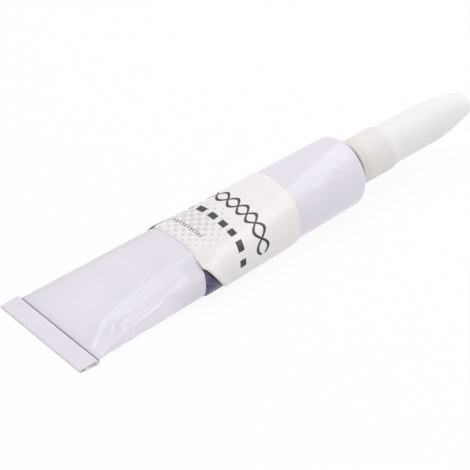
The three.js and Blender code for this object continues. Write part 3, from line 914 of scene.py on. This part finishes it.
# Turned pieces
def cap_shell():
    """The hollow cap, with a thread in its collar and a socket for the pin in its tip."""
    start, length, depth = COLLAR_STEP
    shares = np.linspace(*STEP_SHARES)
    step = [(start + length * share, COLLAR_RADIUS - depth * float(ease(share)), 0) for share in shares]
    outline = fillet(CAP_MOUTH + step + CAP_BARREL + CAP_INSIDE)
    bore = np.linspace(*CAP_BORE_SPAN)
    outline = np.concatenate([outline, np.stack([bore, np.full_like(bore, CAP_BORE)], 1)])

    def ridge(x, r, turn):
        """The thread in the bore, which stands inwards."""
        inside = (np.abs(r - CAP_BORE) < CAP_BORE_NEAR[1]) & (x < CAP_BORE_SPAN[0] + CAP_BORE_NEAR[0])
        height = CAP_THREAD_HEIGHT * thread_tooth(x, turn, 0.5) * window(x, *CAP_THREAD)
        return np.where(inside, -height, 0)

    points, faces = lathe(outline, sides=128, radius_shift=ridge)
    return make_object("cap_shell", points, faces, [CAP_PLASTIC])


def nozzle_spout():
    """The plug, the flange and the tapered spout."""
    points, faces = lathe(fillet(NOZZLE_CORNERS), sides=72)
    return make_object("nozzle_spout", points, faces, [NOZZLE_PLASTIC])


def seal_pin():
    """The pin, with a tapered point."""
    points, faces = lathe(fillet(PIN_CORNERS), sides=32)
    return make_object("seal_pin", points, faces, [STEEL])


# What is inside: the glue and the band of sealing compound by the fold
def filled(name, span, material, throat=None):
    """A closed block that fills the body over a span of x, set in from the wall."""
    girth = np.linspace(-HALF_GIRTH, HALF_GIRTH, FILL_COLUMNS, endpoint=False)
    layers = inner_skin(np.linspace(*span)[:, None], girth[None, :], FILL_INSET, FILL_ROOM)
    if throat is not None:
        layers = np.concatenate([layers, line_rings(throat, girth)])
    faces = grid_faces(len(layers), FILL_COLUMNS, False, True)
    last = (len(layers) - 1) * FILL_COLUMNS
    faces.append(list(range(FILL_COLUMNS))[::-1])
    faces.append([last + k for k in range(FILL_COLUMNS)])
    return make_object(name, place(layers), faces, [material])


throat_line = np.concatenate([shoulder_line(FILL_INSET, THROAT_RADIUS)[1:], [[THROAT_END, THROAT_RADIUS]]])
pieces = [
    (tube_skin(), "tube", "lacquered_tube", ["tube_body"]),
    (tail_fold(), "tube", "lacquered_tube", ["tube_body"]),
    (label_sheet(), "tube", "label", ["wrap_label"]),
    (nozzle_spout(), "tube", "nozzle", ["nozzle"]),
    (filled("glue_fill", FILL_SPAN, GEL, throat_line), "tube", "glue", ["glue_gel"]),
    (filled("seal_band", SEAL_SPAN, SEALANT), "tube", "seal", ["end_seal"]),
    (seal_pin(), "pin", "pin", ["sealing_pin"]),
    (cap_shell(), "cap", "cap", ["cap"]),
]
for piece, body, slot_name, nodes in pieces:
    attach(piece, body)
    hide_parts(*nodes)


# Floor, light and camera
def math_node(tree, operation, first, second):
    """A math node between a socket and another socket or a plain number."""
    node = tree.nodes.new("ShaderNodeMath")
    node.operation = operation
    tree.links.new(first, node.inputs[0])
    if isinstance(second, float):
        node.inputs[1].default_value = second
    else:
        tree.links.new(second, node.inputs[1])
    return node.outputs[0]


def light_path_mix(tree, first, second, share):
    """Shows second in place of first, by share, to the camera and in reflections."""
    path = tree.nodes.new("ShaderNodeLightPath")
    mirrored = math_node(tree, "MAXIMUM", path.outputs["Is Glossy Ray"], path.outputs["Is Transmission Ray"])
    seen = math_node(tree, "MAXIMUM", path.outputs["Is Camera Ray"], mirrored)
    mix = tree.nodes.new("ShaderNodeMixShader")
    tree.links.new(math_node(tree, "MULTIPLY", seen, share), mix.inputs[0])
    tree.links.new(first, mix.inputs[1])
    tree.links.new(second, mix.inputs[2])
    return mix.outputs[0]


def add_floor():
    """A white floor that keeps the object's shadow, in metres."""
    half = 1.5
    drop = 0.00002
    glow_share = 0.92
    corners = [(-half, -half, 0), (half, -half, 0), (half, half, 0), (-half, half, 0)]
    floor = make_object("floor", corners, [[0, 1, 2, 3]], [])
    material = bpy.data.materials.new("floor_white")
    material.use_nodes = True
    tree = material.node_tree
    tree.nodes.clear()
    matt = tree.nodes.new("ShaderNodeBsdfDiffuse")
    matt.inputs["Color"].default_value = (0.9, 0.9, 0.9, 1)
    glow = tree.nodes.new("ShaderNodeEmission")
    output = tree.nodes.new("ShaderNodeOutputMaterial")
    shown = light_path_mix(tree, matt.outputs[0], glow.outputs[0], glow_share)
    tree.links.new(shown, output.inputs["Surface"])
    floor.data.materials.append(material)
    floor.location.z = -drop


def add_world():
    """A room that is brighter towards the top, with a white background."""
    world = bpy.data.worlds.new("studio")
    bpy.context.scene.world = world
    world.use_nodes = True
    tree = world.node_tree
    tree.nodes.clear()
    where = tree.nodes.new("ShaderNodeTexCoord")
    height = tree.nodes.new("ShaderNodeSeparateXYZ")
    tree.links.new(where.outputs["Generated"], height.inputs[0])
    strength = tree.nodes.new("ShaderNodeMapRange")
    for socket, value in {"From Min": 0.0, "From Max": 0.9, "To Min": 0.5, "To Max": 0.85}.items():
        strength.inputs[socket].default_value = value
    tree.links.new(height.outputs["Z"], strength.inputs["Value"])
    room = tree.nodes.new("ShaderNodeBackground")
    room.inputs["Color"].default_value = (1, 1, 1, 1)
    tree.links.new(strength.outputs[0], room.inputs["Strength"])
    white = tree.nodes.new("ShaderNodeBackground")
    white.inputs["Color"].default_value = (1, 1, 1, 1)
    output = tree.nodes.new("ShaderNodeOutputWorld")
    tree.links.new(light_path_mix(tree, room.outputs[0], white.outputs[0], 1.0), output.inputs["Surface"])


def add_lamp(name, direction, distance, size, watts):
    """A rectangular lamp that faces the middle of the scene, in metres."""
    data = bpy.data.lights.new(name, "AREA")
    data.shape = "RECTANGLE"
    data.size = size[0]
    data.size_y = size[1]
    data.energy = watts
    lamp = bpy.data.objects.new(name, data)
    way = Vector(direction).normalized()
    lamp.location = way * distance
    lamp.rotation_euler = way.to_track_quat("Z", "Y").to_euler()
    bpy.context.scene.collection.objects.link(lamp)


def add_camera(azimuth, elevation, roll, target, distance, lens):
    """A camera given in the tube's frame: degrees, and millimetres for target and distance."""
    round_by = math.radians(azimuth)
    up_by = math.radians(elevation)
    roll_by = math.radians(roll)
    out_by = math.cos(up_by)
    back = np.array([math.sin(round_by) * out_by, -math.cos(round_by) * out_by, math.sin(up_by)])
    level = np.cross([0, 0, 1], back)
    level /= np.linalg.norm(level)
    upright = np.cross(back, level)
    right = level * math.cos(roll_by) + upright * math.sin(roll_by)
    up = upright * math.cos(roll_by) - level * math.sin(roll_by)
    turn = np.stack([AXIS, ACROSS, RISE], 1) @ np.stack([right, up, back], 1)
    data = bpy.data.cameras.new("camera")
    data.lens = lens
    data.sensor_width = 36.0
    data.clip_start = 0.01
    data.clip_end = 20.0
    camera = bpy.data.objects.new("camera", data)
    spot = place(np.array(target) + back * distance)
    camera.matrix_world = Matrix.Translation(spot) @ Matrix(turn).to_4x4()
    bpy.context.scene.collection.objects.link(camera)
    bpy.context.scene.camera = camera


add_floor()
add_world()
add_lamp("overhead", (0.36, 0.02, 0.93), 0.55, (0.6, 0.34), 1.02)
add_lamp("front", (-0.5, -0.8, 0.45), 0.7, (0.5, 0.4), 0.08)
add_camera(azimuth=-39.0385, elevation=38.0521, roll=-2.3048, target=(50.0, 5.9757, -7.897), distance=428.189,
           lens=155.375)

bpy.context.scene.view_settings.view_transform = "Standard"
